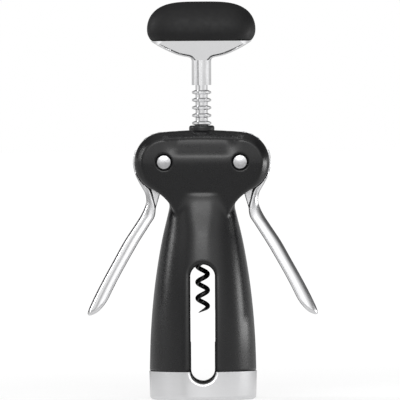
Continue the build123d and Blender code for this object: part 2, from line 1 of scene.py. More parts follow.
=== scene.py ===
"""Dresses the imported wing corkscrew: sculpted skins, finishes, studio and camera. Metres, +Z up.

The body, the wings and the grip get skins meshed from signed distance fields, which are written in
millimetres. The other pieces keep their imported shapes. Every piece gets a procedural finish.
"""

import json
import math

import bpy
import numpy as np
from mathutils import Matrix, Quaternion, Vector


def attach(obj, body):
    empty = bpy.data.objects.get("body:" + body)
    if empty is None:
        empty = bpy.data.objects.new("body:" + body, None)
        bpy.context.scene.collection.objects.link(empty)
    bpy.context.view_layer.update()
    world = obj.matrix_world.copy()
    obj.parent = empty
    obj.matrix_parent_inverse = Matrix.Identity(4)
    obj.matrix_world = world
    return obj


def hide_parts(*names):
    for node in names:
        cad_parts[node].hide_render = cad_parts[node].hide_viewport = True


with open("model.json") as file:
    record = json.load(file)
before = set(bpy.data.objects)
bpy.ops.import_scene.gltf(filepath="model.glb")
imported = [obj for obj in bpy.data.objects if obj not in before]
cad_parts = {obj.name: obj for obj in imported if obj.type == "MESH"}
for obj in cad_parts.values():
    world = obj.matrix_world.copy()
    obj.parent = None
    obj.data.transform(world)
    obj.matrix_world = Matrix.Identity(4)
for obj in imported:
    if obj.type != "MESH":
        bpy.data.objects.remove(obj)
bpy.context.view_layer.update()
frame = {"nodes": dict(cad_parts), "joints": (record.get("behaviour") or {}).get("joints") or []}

# Sizes are in millimetres unless a name or comment says otherwise.
MM = 0.001
JOINTS = {joint["name"]: joint for joint in frame["joints"]}
PIVOT_X = JOINTS["wing_right_swing"]["pos_m"][0] / MM
PIVOT_Z = JOINTS["wing_right_swing"]["pos_m"][2] / MM


# --- signed distance tools: negative inside -----------------------------------
def disc(x, y, cx, cy, radius):
    """Distance to a round in a plane."""
    return np.hypot(x - cx, y - cy) - radius


def rect(x, y, half_x, half_y, radius):
    """Distance to a rectangle about the origin, with round corners."""
    dx = np.abs(x) - half_x + radius
    dy = np.abs(y) - half_y + radius
    outside = np.hypot(np.maximum(dx, 0), np.maximum(dy, 0))
    return outside + np.minimum(np.maximum(dx, dy), 0) - radius


def half_plane(x, z, a, b):
    """Distance to the right of the line from a to b."""
    length = math.hypot(b[0] - a[0], b[1] - a[1])
    return ((x - a[0]) * (b[1] - a[1]) - (z - a[1]) * (b[0] - a[0])) / length


def join(a, b, blend=0.0):
    """Union with a rolled inside corner, whose blend may vary from place to place."""
    if np.ndim(blend) == 0 and blend == 0:
        return np.minimum(a, b)
    h = np.clip(0.5 + 0.5 * (b - a) / blend, 0, 1)
    return b + (a - b) * h - blend * h * (1 - h)


def both(a, b, blend=0.0):
    """Intersection with a rolled outside edge."""
    return -join(-a, -b, blend)


def cut(a, b, blend=0.0):
    """a less b, with a rolled edge."""
    return both(a, -b, blend)


def ease(value, start, end):
    """0 before start and 1 beyond end, smooth between them."""
    share = np.clip((value - start) / (end - start), 0, 1)
    return share * share * (3 - 2 * share)


def course(t, knots):
    """A smooth curve through (t, value) knots, straight beyond its ends."""
    kt, kv = np.array(knots, dtype=float).T
    slopes = np.gradient(kv, kt)
    i = np.clip(np.searchsorted(kt, t) - 1, 0, len(kt) - 2)
    span = kt[i + 1] - kt[i]
    s = np.clip((t - kt[i]) / span, 0, 1)
    h01 = s * s * (3 - 2 * s)
    value = kv[i] * (1 - h01) + kv[i + 1] * h01
    value += span * slopes[i] * (s - 2 * s ** 2 + s ** 3)
    value += span * slopes[i + 1] * (s ** 3 - s ** 2)
    before = (t - kt[0]) * slopes[0]
    after = (t - kt[-1]) * slopes[-1]
    return value + np.where(t < kt[0], before, np.where(t > kt[-1], after, 0))


def leaned(points, lean):
    """Points or directions turned by an angle about the front-to-back axis."""
    across, deep, along = points
    return (across * math.cos(lean) - along * math.sin(lean), deep,
            across * math.sin(lean) + along * math.cos(lean))


# --- meshing ------------------------------------------------------------------
CORNERS = [(i, j, k) for i in (0, 1) for j in (0, 1) for k in (0, 1)]
CELL_EDGES = [(a, b) for a in range(8) for b in range(a + 1, 8)
              if sum(abs(p - q) for p, q in zip(CORNERS[a], CORNERS[b])) == 1]
QUAD_RING = ((-1, -1), (0, -1), (0, 0), (-1, 0))    # the four cells round a grid edge, in order
MARGIN_BEFORE, MARGIN_AFTER = 1.5, 2.5              # cells left free round a shape
NEVER_ZERO, LEAST_LENGTH = 1e-6, 1e-12
DRAWS = 3                      # times that the points are drawn on to the surface
LEAST_STEEPNESS = 0.3          # a flatter field than this isn't trusted to give the distance
FINE_REACH = 0.02              # half the span over which a field's slope is taken
SHADING_REACH = 0.75           # the same for the shading normals, in grid steps


def slope(field, points, reach=FINE_REACH):
    """Unit normals of a field at points, and how steep it is there."""
    grad = np.empty_like(points)
    for axis in range(3):
        step = np.zeros(3)
        step[axis] = reach
        ahead, behind = points + step, points - step
        grad[:, axis] = field(*ahead.T) - field(*behind.T)
    length = np.linalg.norm(grad, axis=1, keepdims=True)
    return grad / np.maximum(length, LEAST_LENGTH), length[:, 0] / (2 * reach)


def cell_points(value, inside):
    """The grid cells that the surface passes through, and its middle in each, in grid steps."""
    cells = tuple(n - 1 for n in value.shape)
    count = np.zeros(cells, dtype=np.int8)
    for i, j, k in CORNERS:
        count += inside[i:i + cells[0], j:j + cells[1], k:k + cells[2]]
    active = np.argwhere((count > 0) & (count < len(CORNERS)))
    corner = [value[tuple((active + c).T)] for c in CORNERS]
    total = np.zeros((len(active), 3))
    hits = np.zeros(len(active))
    for a, b in CELL_EDGES:
        crossed = (corner[a] < 0) != (corner[b] < 0)
        gap = np.where(crossed, corner[a] - corner[b], 1)
        share = np.where(crossed, corner[a] / gap, 0)[:, None]
        spot = np.array(CORNERS[a]) + share * (np.array(CORNERS[b]) - np.array(CORNERS[a]))
        total += np.where(crossed[:, None], spot, 0)
        hits += crossed
    return active, active + total / hits[:, None]


def cell_quads(inside, active):
    """A quad through the four cells round each grid edge that the surface crosses."""
    cells = tuple(n - 1 for n in inside.shape)
    number = np.full(cells, -1, dtype=np.int64)
    number[tuple(active.T)] = np.arange(len(active))
    quads = []
    for axis in range(3):
        u, v = (axis + 1) % 3, (axis + 2) % 3
        lower = [slice(None)] * 3
        upper = [slice(None)] * 3
        lower[axis], upper[axis] = slice(0, -1), slice(1, None)
        edge = np.argwhere(inside[tuple(lower)] != inside[tuple(upper)])
        keep = (edge[:, u] > 0) & (edge[:, v] > 0)
        keep &= (edge[:, u] < cells[u]) & (edge[:, v] < cells[v])
        edge = edge[keep]
        ring = []
        for du, dv in QUAD_RING:
            cell = edge.copy()
            cell[:, u] += du
            cell[:, v] += dv
            ring.append(number[tuple(cell.T)])
        quad = np.stack(ring, axis=1)
        flip = ~inside[tuple(edge.T)]
        quad[flip] = quad[flip][:, ::-1]
        quads.append(quad)
    return np.concatenate(quads)


def skin(name, shape, low, high, step, lean=0.0):
    """A mesh of the surface where a shape's field is zero, by surface nets drawn on to the surface.

    The grid may lean about the front-to-back axis, so that its rows run along a slanting limb.
    """
    def field(*place):
        return shape(*leaned(place, lean))

    axes = [np.arange(lo - MARGIN_BEFORE * step, hi + MARGIN_AFTER * step, step)
            for lo, hi in zip(low, high)]
    value = np.empty([len(a) for a in axes], dtype=np.float32)
    grid_x, grid_y = np.meshgrid(axes[0], axes[1], indexing="ij")
    for k, z in enumerate(axes[2]):
        value[:, :, k] = field(grid_x, grid_y, np.full_like(grid_x, z))
    value[value == 0] = NEVER_ZERO
    inside = value < 0
    active, spots = cell_points(value, inside)
    points = np.array([a[0] for a in axes]) + spots * step
    for _ in range(DRAWS):
        normal, steep = slope(field, points)
        move = field(*points.T) / np.maximum(steep, LEAST_STEEPNESS)
        points = points - normal * np.clip(move, -step / 2, step / 2)[:, None]
    normals = slope(field, points, SHADING_REACH * step)[0]
    points, normals = (np.stack(leaned(rows.T, lean), axis=1) for rows in (points, normals))
    return mesh_piece(name, points * MM, cell_quads(inside, active), normals)


def mesh_piece(name, points, quads, normals):
    """A Blender object from arrays of points, quads and shading normals."""
    mesh = bpy.data.meshes.new(name)
    mesh.vertices.add(len(points))
    mesh.vertices.foreach_set("co", np.ascontiguousarray(points, dtype=np.float32).ravel())
    mesh.loops.add(4 * len(quads))
    mesh.loops.foreach_set("vertex_index", np.ascontiguousarray(quads, dtype=np.int32).ravel())
    mesh.polygons.add(len(quads))
    mesh.polygons.foreach_set("loop_start", np.arange(len(quads), dtype=np.int32) * 4)
    mesh.update(calc_edges=True)
    mesh.validate()
    mesh.shade_smooth()
    mesh.normals_split_custom_set_from_vertices(normals.tolist())
    return placed(name, mesh)


def placed(name, data):
    """An object for a mesh, lamp or camera, in the scene."""
    thing = bpy.data.objects.new(name, data)
    bpy.context.scene.collection.objects.link(thing)
    return thing


# --- the head of the body -----------------------------------------------------
CHEEK_RADIUS = 14.2            # round ends, about the pivots
CROWN_RADIUS, CROWN_Z = 190.0, 129.15
CROWN_REACH = 1.4              # the crown goes this far past the pivots
HEAD_OVERLAP = 8               # the upper and lower outlines run this far past the pivots' height
UNDER_X, UNDER_Z, UNDER_RADIUS = 33.7, 80.9, 22.3    # hollow curve from the round end to the neck
UNDER_REACH = 24.2             # how far out that curve runs
TONGUE_X, TONGUE_Z = 15.4, 93.7                      # the cheeks' edge below the neck
TONGUE_LEAN = math.radians(31.0)
HEAD_FOOT_Z, HEAD_FOOT_ROUND = 84.0, 4.0

FACE_Y = 15.0                  # half the depth of the head
FACE_FALL = ((90.0, 2.25), (100.0, 1.25), (106.0, 0.65), (112.0, 0.09), (113.4, 0.01),
             (114.5, 0.0), (130.0, 0.0))             # height, and drop back below the middle
FACE_RISE = ((110.0, 0.0), (114.5, 0.0), (116.0, 0.11), (116.9, 0.27), (118.0, 0.62),
             (119.4, 1.14), (121.0, 1.73), (122.5, 2.28), (124.0, 2.76), (125.5, 3.16),
             (127.0, 3.52), (129.3, 4.05))           # the same above it
FACE_CALM_FROM, FACE_CALM_TO = 10.0, 20.0            # the rise is flatter towards the ends
FACE_CALM = 0.90
FACE_SIDE_RADIUS = 320.0       # the face is crowned a little from side to side as well
FACE_EDGE_ROUND = 0.7

BEVEL_IN, BEVEL_BACK = 3.5, 4.5                      # sloped band round each face
BEVEL_ROUND = 2.0
BEVEL_FADE_LOW, BEVEL_FADE_HIGH = 98.0, 112.0        # it narrows over the underside
BEVEL_LEAST = 0.22


def head_plan(x, z):
    """Front outline of the head as a distance in the x-z plane."""
    x = np.abs(x)
    lobe = disc(x, z, PIVOT_X, PIVOT_Z, CHEEK_RADIUS)
    crown = disc(x, z, 0, CROWN_Z - CROWN_RADIUS, CROWN_RADIUS)
    upper = both(both(crown, x - PIVOT_X - CROWN_REACH), PIVOT_Z - HEAD_OVERLAP - z)
    tongue = (x - TONGUE_X) * math.cos(TONGUE_LEAN) - (z - TONGUE_Z) * math.sin(TONGUE_LEAN)
    hollow = -disc(x, z, UNDER_X, UNDER_Z, UNDER_RADIUS)
    side = np.where(z < TONGUE_Z, tongue, both(hollow, x - UNDER_REACH))
    lower = both(side, z - PIVOT_Z - HEAD_OVERLAP)
    return join(join(lobe, upper), lower)


def face_drop(x, z):
    """How far the crowned face lies behind its foremost line."""
    rise = course(z, FACE_RISE) * (1 - FACE_CALM * ease(np.abs(x), FACE_CALM_FROM, FACE_CALM_TO))
    crowned = x ** 2 / (2 * FACE_SIDE_RADIUS)
    return np.maximum(course(z, FACE_FALL), 0) + np.maximum(rise, 0) + crowned


def head_field(x, y, z):
    """Both cheeks and what joins them, as one block."""
    plan = head_plan(x, z)
    depth = np.abs(y) + face_drop(x, z)
    size = BEVEL_LEAST + (1 - BEVEL_LEAST) * ease(z, BEVEL_FADE_LOW, BEVEL_FADE_HIGH)
    wide, deep = BEVEL_IN * size, BEVEL_BACK * size
    bevel = (plan * deep + (depth - FACE_Y + deep) * wide) / np.hypot(wide, deep)
    block = both(plan, bevel, BEVEL_ROUND * size)
    block = both(block, depth - FACE_Y, FACE_EDGE_ROUND)
    return both(block, HEAD_FOOT_Z - z, HEAD_FOOT_ROUND)


# --- the black body -----------------------------------------------------------
FOOT_HEIGHT, FOOT_ROUND = 13.7, 1.0
CONE = ((FOOT_HEIGHT, 25.6), (30.0, 25.1), (57.2, 22.6), (76.4, 19.4), (93.7, 15.4),
        (99.0, 14.4))          # height, radius
CONE_TRUE = 0.985              # brings the tapering cone's field back to a distance
CONE_TOP, CONE_TOP_ROUND = 98.4, 1.2
FLAT_LOW, FLAT_HIGH = 78.0, 97.5                     # its front flattens here, to meet the face
FLAT_SQUARE, FLAT_DEPTH = 0.6, 0.05
HEAD_BLEND = 1.4
SPIGOT_RADIUS, SPIGOT_MIDDLE, SPIGOT_HALF = 22.2, 9.5, 5.5    # carries the foot ring

BELL_RADIUS, BELL_ROUND = 20.0, 0.6
STOP_Z, STOP_RADIUS = 40.0, 12.8                     # ledge that the bottle's lip meets
WELL_Z, WELL_RADIUS, WELL_TRUE = 84.0, 7.5, 0.99
BORE_RADIUS, BORE_MIDDLE, BORE_HALF = 4.95, 106, 24
BUSH_SLEEVE_RADIUS, BUSH_SLEEVE_FOOT = 5.5, 123.6
BUSH_LIP_RADIUS, BUSH_LIP_MIDDLE, BUSH_LIP_HALF = 6.05, 119.3, 5.3
BUSH_FLANGE_RADIUS, BUSH_SEAT_Z = 6.6, 129.0
BORE_EDGE_ROUND = 0.3

WING_SLOT_HALF, WING_CAVITY_RADIUS = 4.0, 15.4
GATE_X, GATE_LOW, GATE_HIGH = 0.8, 91.8, 107.8       # open below, from just outside the pivots
SLOT_EDGE_ROUND = 0.9
RIVET_RECESS_RADIUS, RIVET_RECESS_DEPTH = 3.85, 1.8
RIVET_RECESS_ROUND = 0.8
WINDOW_HALF, WINDOW_BOTTOM, WINDOW_TOP = 5.9, 8.2, 65.0
WINDOW_ROUND = 2.6

BODY_LOW, BODY_HIGH = (-32.6, -25.8, 4.0), (32.6, 25.8, 129.3)
BODY_STEP, BODY_QUICK_STEP = 0.65, 1.2


def cone_field(x, y, z):
    """The tapered lower body, round at the foot and flatter in front at its top."""
    flat = ease(z, FLAT_LOW, FLAT_HIGH)
    power = 2 + FLAT_SQUARE * flat
    deep = np.abs(y) * (1 + FLAT_DEPTH * flat)
    cone = (np.abs(x) ** power + deep ** power) ** (1 / power)
    cone = (cone - course(z, CONE)) * CONE_TRUE
    return both(both(cone, z - CONE_TOP, CONE_TOP_ROUND), FOOT_HEIGHT - z, FOOT_ROUND)


def bore_field(around, z):
    """All that is hollow about the upright axis, from the bell to the bush's seat."""
    bell = both(around - BELL_RADIUS, z - STOP_Z, BELL_ROUND)
    taper = np.interp(z, (STOP_Z, WELL_Z), (STOP_RADIUS, WELL_RADIUS))
    well = both((around - taper) * WELL_TRUE,
                np.abs(z - (STOP_Z + WELL_Z) / 2) - (WELL_Z - STOP_Z) / 2)
    bore = both(around - BORE_RADIUS, np.abs(z - BORE_MIDDLE) - BORE_HALF)
    hollow = join(join(bell, well), bore)
    hollow = join(hollow, both(around - BUSH_SLEEVE_RADIUS, BUSH_SLEEVE_FOOT - z))
    hollow = join(hollow, both(around - BUSH_LIP_RADIUS,
                               np.abs(z - BUSH_LIP_MIDDLE) - BUSH_LIP_HALF))
    return join(hollow, both(around - BUSH_FLANGE_RADIUS, BUSH_SEAT_Z - z))


def slot_field(x, y, z):
    """The two slots that the wings swing in."""
    x, side = np.abs(x), np.abs(y) - WING_SLOT_HALF
    slot = both(disc(x, z, PIVOT_X, PIVOT_Z, WING_CAVITY_RADIUS), side)
    gate = both(both(PIVOT_X + GATE_X - x, z - GATE_HIGH), both(side, GATE_LOW - z))
    return join(slot, gate)


def body_field(x, y, z):
    """The moulded body: cone and head, less the bores, slots, recesses and window."""
    around = np.hypot(x, y)
    solid = join(cone_field(x, y, z), head_field(x, y, z), HEAD_BLEND)
    solid = join(solid, both(around - SPIGOT_RADIUS, np.abs(z - SPIGOT_MIDDLE) - SPIGOT_HALF))
    solid = cut(solid, slot_field(x, y, z), SLOT_EDGE_ROUND)
    solid = cut(solid, bore_field(around, z), BORE_EDGE_ROUND)
    recess = disc(np.abs(x), z, PIVOT_X, PIVOT_Z, RIVET_RECESS_RADIUS)
    recess = both(recess, FACE_Y - RIVET_RECESS_DEPTH - np.abs(y))
    solid = cut(solid, recess, RIVET_RECESS_ROUND)
    middle, half = (WINDOW_TOP + WINDOW_BOTTOM) / 2, (WINDOW_TOP - WINDOW_BOTTOM) / 2
    return cut(solid, rect(x, z - middle, WINDOW_HALF, half, WINDOW_HALF), WINDOW_ROUND)


def make_body():
    step = BODY_STEP
    body = skin("body_skin", body_field, BODY_LOW, BODY_HIGH, step)
    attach(body, "frame")
    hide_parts("body_shell")
    dress(body, "body_black")


# --- the wings ----------------------------------------------------------------
# outlines of the right arm from its pivot: depth below the pivot, distance outwards
ARM_OUTER = ((3.0, 14.5), (6.9, 13.4), (8.8, 12.5), (10.7, 11.5), (12.6, 10.4), (14.6, 9.3),
             (16.5, 8.75), (18.4, 8.6), (20.3, 8.9), (23.0, 9.9), (26.1, 11.5), (29.9, 13.95),
             (37.6, 19.05), (47.2, 24.45), (56.8, 29.75), (66.4, 34.65), (70.2, 36.35),
             (74.2, 37.7))
ARM_INNER = ((3.0, 9.0), (12.0, 7.0), (14.5, 6.1), (17.8, 5.2), (20.8, 4.4), (23.6, 4.15),
             (26.2, 4.6), (29.9, 6.85), (37.6, 11.75), (47.2, 17.35), (56.8, 22.65),
             (66.4, 27.45), (74.2, 31.4))
ARM_PROBE = 0.5                # the slant is taken over this much above and below
ARM_HALF_WIDTH = 7.0
ARM_TRUE = 0.95                # brings the rolled face's field back to a distance
ARM_ROLL_START = -0.90         # the face rolls back from here outwards, in half thicknesses
ARM_ROLL_SLOPE, ARM_ROLL_MOST = 0.85, 1.2
ARM_BEVEL_DEPTH = 0.30         # narrow bevel along the inner edge
ARM_BEVEL_TILT = math.radians(28)
ARM_BEVEL_ROUND, ARM_OUTER_ROUND, ARM_INNER_ROUND = 0.4, 2.2, 0.8
ARM_END = 74.15
ARM_SLANT = ((34.9, 74.2), (29.7, 70.0))             # the end is cut back on its inner side
ARM_SLANT_ROUND, ARM_END_ROUND = 3.0, 2.2
ARM_CORNER_RADIUS, ARM_CORNER_ROUND = 4.5, 0.8       # corners of the end, seen from the side
ARM_TOP, ARM_TOP_ROUND = -5.5, 0.5
ARM_LEAN = math.radians(29.5)  # the straight part of the arm from upright
ARM_REACH = 83.0               # from the pivot to the arm's end, along that slant

SHOULDER_RADIUS, SHOULDER_ROUND = 14.55, 0.4
HUB_HALF, HUB_ROUND, HUB_BLEND = 3.45, 0.4, 0.5
HUB_BAND_RADIUS = 14.9
HUB_BAND_TOP, HUB_BAND_LOW = math.radians(22.0), math.radians(-73.0)
HUB_WEB = ((1.0, -12.0), (2.95, -18.6), (4.4, -23.4), (7.4, -21.0), (9.3, -11.0))
GEAR_ROOT, GEAR_PITCH, GEAR_TIP = 13.25, 14.025, 14.45
TOOTH_HALF, TOOTH_FLARE, TOOTH_PITCH = 1.095, 0.30, 3.70
TOOTH_FIRST, TOOTH_LAST = -2, 8                      # counted upwards from the pivot's level
TOOTH_ROOT_ROUND = 0.3
PIVOT_BORE = 2.55
WING_STEP, WING_QUICK_STEP = 0.30, 0.9


def arm_field(x, y, z):
    """The lever below the cheeks: a bevelled bar that follows its two outlines."""
    down, depth = -z, np.abs(y)
    outer, inner = course(down, ARM_OUTER), course(down, ARM_INNER)
    ahead = course(down + ARM_PROBE, ARM_OUTER) + course(down + ARM_PROBE, ARM_INNER)
    behind = course(down - ARM_PROBE, ARM_OUTER) + course(down - ARM_PROBE, ARM_INNER)
    lean = 1 / np.hypot(1, (ahead - behind) / (4 * ARM_PROBE))
    across = (x - (outer + inner) / 2) * lean
    half = (outer - inner) / 2 * lean
    rolled = 1 - ARM_ROLL_START
    roll = np.clip((across / half - ARM_ROLL_START) / rolled, 0, ARM_ROLL_MOST)
    sink = half * rolled * ARM_ROLL_SLOPE * roll ** 2 / 2
    bevel = (-across - half) * math.sin(ARM_BEVEL_TILT)
    bevel = bevel + (depth - ARM_HALF_WIDTH + ARM_BEVEL_DEPTH) * math.cos(ARM_BEVEL_TILT)
    bar = both((depth - ARM_HALF_WIDTH + sink) * ARM_TRUE, bevel, ARM_BEVEL_ROUND)
    bar = both(both(bar, across - half, ARM_OUTER_ROUND), -across - half, ARM_INNER_ROUND)
    end = both(half_plane(x, down, *ARM_SLANT), down - ARM_END, ARM_SLANT_ROUND)
    bar = both(bar, end, ARM_END_ROUND)
    corner = np.hypot(np.maximum(depth - ARM_HALF_WIDTH + ARM_CORNER_RADIUS, 0),
                      np.maximum(down - ARM_END + ARM_CORNER_RADIUS, 0)) - ARM_CORNER_RADIUS
    return both(bar, corner, ARM_CORNER_ROUND)


def gear_field(x, z):
    """Front outline of the geared hub."""
    radius = np.hypot(x, z)
    turn = (math.pi - np.arctan2(z, x) % (2 * math.pi)) * GEAR_PITCH / TOOTH_PITCH
    place = turn - np.clip(np.floor(turn), TOOTH_FIRST, TOOTH_LAST) - 0.5
    width = np.abs(place) * TOOTH_PITCH * radius / GEAR_PITCH
    width = width - TOOTH_HALF + (radius - GEAR_PITCH) * TOOTH_FLARE
    teeth = both(width, radius - GEAR_TIP)
    band = both(radius - HUB_BAND_RADIUS, z * math.cos(HUB_BAND_TOP) - x * math.sin(HUB_BAND_TOP))
    band = both(band, x * math.sin(HUB_BAND_LOW) - z * math.cos(HUB_BAND_LOW))
    web = half_plane(x, z, HUB_WEB[-1], HUB_WEB[0])
    for a, b in zip(HUB_WEB, HUB_WEB[1:]):
        web = both(web, half_plane(x, z, a, b))
    hub = join(join(radius - GEAR_ROOT, teeth, TOOTH_ROOT_ROUND), join(band, web))
    return cut(hub, radius - PIVOT_BORE)


def wing_field(x, y, z):
    """The right wing in the shared frame."""
    x, z = x - PIVOT_X, z - PIVOT_Z
    arm = cut(arm_field(x, y, z), np.hypot(x, z) - SHOULDER_RADIUS, SHOULDER_ROUND)
    arm = both(arm, z - ARM_TOP, ARM_TOP_ROUND)
    hub = both(gear_field(x, z), np.abs(y) - HUB_HALF, HUB_ROUND)
    return join(arm, hub, HUB_BLEND)


def make_wings():
    step = WING_STEP
    for side, way in (("right", 1), ("left", -1)):
        lean = way * ARM_LEAN
        pivot = np.array(leaned((way * PIVOT_X, 0, PIVOT_Z), -lean))
        low = pivot - (HUB_BAND_RADIUS, ARM_HALF_WIDTH, ARM_REACH)
        high = pivot + (HUB_BAND_RADIUS, ARM_HALF_WIDTH, HUB_BAND_RADIUS)
        piece = skin("wing_skin_" + side, lambda x, y, z: wing_field(way * x, y, z),
                     low, high, step, lean)
        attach(piece, "wing_" + side)
        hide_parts("wing_" + side)
        dress(piece, "wing_metal")


# --- the grip -----------------------------------------------------------------
GRIP_LONG, GRIP_DEEP, GRIP_RISE = 26.05, 14.0, 13.2
GRIP_LONG_POWER, GRIP_DEEP_POWER, GRIP_RISE_POWER = 3.6, 2.2, 2.05
GRIP_ROOT = 2.4
GRIP_FOOT_Z, GRIP_WIDEST_Z, GRIP_FOOT_ROUND = 172.0, 177.7, 0.5
GRIP_TUCK, GRIP_TUCK_POWER = 1.65, 2.4               # drawn in at the foot
SEAT_STRAIGHT, SEAT_ROUND, SEAT_TOP = 12.05, 9.05, 181.05    # hollow for the core
GRIP_STEP, GRIP_QUICK_STEP = 0.9, 1.4


def grip_field(x, y, z):
    """The soft knob: a full oblong dome, tucked in above the bracket and hollow for its core."""
    lift = z - GRIP_WIDEST_Z
    dome = ((np.abs(x) / GRIP_LONG) ** GRIP_LONG_POWER + (np.abs(y) / GRIP_DEEP) ** GRIP_DEEP_POWER
            + (np.clip(lift, 0, None) / GRIP_RISE) ** GRIP_RISE_POWER)
    dome = (dome ** (1 / GRIP_ROOT) - 1) * GRIP_RISE
    drop = np.clip(-lift, 0, None) / (GRIP_WIDEST_Z - GRIP_FOOT_Z)
    grip = both(dome + GRIP_TUCK * drop ** GRIP_TUCK_POWER, GRIP_FOOT_Z - z, GRIP_FOOT_ROUND)
    plan = np.hypot(np.maximum(np.abs(x) - SEAT_STRAIGHT, 0), y)
    return cut(grip, both(plan - SEAT_ROUND, z - SEAT_TOP))


def make_grip():
    step = GRIP_STEP
    grip = skin("grip_skin", grip_field, (-GRIP_LONG, -GRIP_DEEP, GRIP_FOOT_Z),
                (GRIP_LONG, GRIP_DEEP, GRIP_WIDEST_Z + GRIP_RISE), step)
    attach(grip, "spindle")
    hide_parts("knob_grip")
    dress(grip, "soft_grip")


# --- finishes: procedural, in metres on each piece's own coordinates ----------
FINE_DETAIL = 3.0
NOISE_LOW, NOISE_HIGH = 0.3, 0.7                     # where the values of noise mostly lie
MOTTLE_COARSER, GLOSS_COARSER = 12, 5                # than the grain of moulded pieces


def add_node(tree, kind, links=(), **settings):
    """A shader node with its settings, and its inputs linked or given a value."""
    made = tree.nodes.new(kind)
    for key, value in settings.items():
        setattr(made, key, value)
    for socket, source in dict(links).items():
        if isinstance(source, bpy.types.NodeSocket):
            tree.links.new(source, made.inputs[socket])
        else:
            made.inputs[socket].default_value = source
    return made


class Finish:
    """A Principled material whose colour, gloss and relief vary over the surface."""

    def __init__(self, name, colour, roughness, metallic=0.0, **sockets):
        self.material = bpy.data.materials.new(name)
        self.material.use_nodes = True
        self.tree = self.material.node_tree
        self.shader = self.tree.nodes["Principled BSDF"]
        self.shader.inputs["Metallic"].default_value = metallic
        for socket, value in sockets.items():
            self.shader.inputs[socket.replace("_", " ")].default_value = value
        self.colour = colour
        self.roughness = roughness
        self.place = self.node("ShaderNodeTexCoord").outputs["Object"]
        self.relief = None

    def node(self, kind, links=(), **settings):
        return add_node(self.tree, kind, links, **settings)

    def link(self, source, socket):
        self.tree.links.new(source, self.shader.inputs[socket])

    def arithmetic(self, operation, *values):
        return self.node("ShaderNodeMath", dict(enumerate(values)), operation=operation).outputs[0]

    def stretched(self, scale):
        """The piece's coordinates scaled by axis, for grain that runs one way."""
        links = {"Vector": self.place, "Scale": scale}
        return self.node("ShaderNodeMapping", links).outputs["Vector"]

    def noise(self, scale, detail=2.0, place=None, rough=0.5):
        return self.node("ShaderNodeTexNoise", {
            "Vector": place or self.place, "Scale": scale, "Detail": detail,
            "Roughness": rough}).outputs["Fac"]

    def spread(self, value, start, end, low, high):
        """A value carried from one range to another."""
        return self.node("ShaderNodeMapRange", {
            "Value": value, "From Min": start, "From Max": end,
            "To Min": low, "To Max": high}).outputs["Result"]

    def mottle(self, value, light=1.25, dark=0.8):
        """Base colour that drifts with a texture value."""
        mix = self.node("ShaderNodeMix", {"Factor": value}, data_type="RGBA")
        shades = [[min(1.0, c * f) for c in self.colour] + [1.0] for f in (dark, light)]
        mix.inputs[6].default_value, mix.inputs[7].default_value = shades
        self.link(mix.outputs[2], "Base Color")

    def gloss(self, value, swing):
        """Roughness that drifts with a texture value."""
        low, high = self.roughness - swing, self.roughness + swing
        self.link(self.spread(value, NOISE_LOW, NOISE_HIGH, low, high), "Roughness")

    def bump(self, value, height):
        """Relief from a texture value; height in millimetres."""
        links = {"Height": value, "Distance": height * MM, "Strength": 1.0}
        if self.relief:
            links["Normal"] = self.relief
        self.relief = self.node("ShaderNodeBump", links).outputs["Normal"]
        self.link(self.relief, "Normal")


def moulded(name, colour, roughness, grain, relief, swing=0.05, **sockets):
    """Fine-textured plastic, nylon or rubber; grain is per metre."""
    finish = Finish(name, colour, roughness, **sockets)
    finish.mottle(finish.noise(grain / MOTTLE_COARSER))
    finish.gloss(finish.noise(grain / GLOSS_COARSER), swing)
    finish.bump(finish.noise(grain, FINE_DETAIL), relief)
    return finish.material


def plated(name, colour, roughness, grain, relief, run=(1.0, 1.0, 1.0)):
    """Metal with fine polishing marks, long on the axes where run is small."""
    finish = Finish(name, colour, roughness, metallic=1.0)
    marks = finish.noise(grain, FINE_DETAIL, finish.stretched(run), rough=0.6)
    finish.mottle(finish.noise(90.0, FINE_DETAIL), light=1.02, dark=0.98)
    finish.gloss(marks, swing=0.03)
    finish.bump(marks, relief)
    return finish.material


def turned_metal(name, colour, roughness):
    """Rivet heads with faint lathe rings about the pivots."""
    finish = Finish(name, colour, roughness, metallic=1.0)
    parts = finish.node("ShaderNodeSeparateXYZ", {"Vector": finish.place}).outputs
    across = finish.arithmetic("SUBTRACT", finish.arithmetic("ABSOLUTE", parts["X"]), PIVOT_X * MM)
    rise = finish.arithmetic("SUBTRACT", parts["Z"], PIVOT_Z * MM)
    spot = finish.node("ShaderNodeCombineXYZ", {"X": across, "Y": rise}).outputs[0]
    radius = finish.node("ShaderNodeVectorMath", {0: spot}, operation="LENGTH").outputs["Value"]
    rings = finish.node("ShaderNodeTexNoise", {"W": radius, "Scale": 3500.0, "Detail": 2.0},
                        noise_dimensions="1D").outputs["Fac"]
    finish.mottle(finish.noise(700.0, FINE_DETAIL), light=1.08, dark=0.85)
    finish.gloss(finish.noise(900.0, FINE_DETAIL), swing=0.09)
    finish.bump(rings, height=0.03)
    finish.bump(finish.noise(1800.0, FINE_DETAIL), height=0.02)
    return finish.material


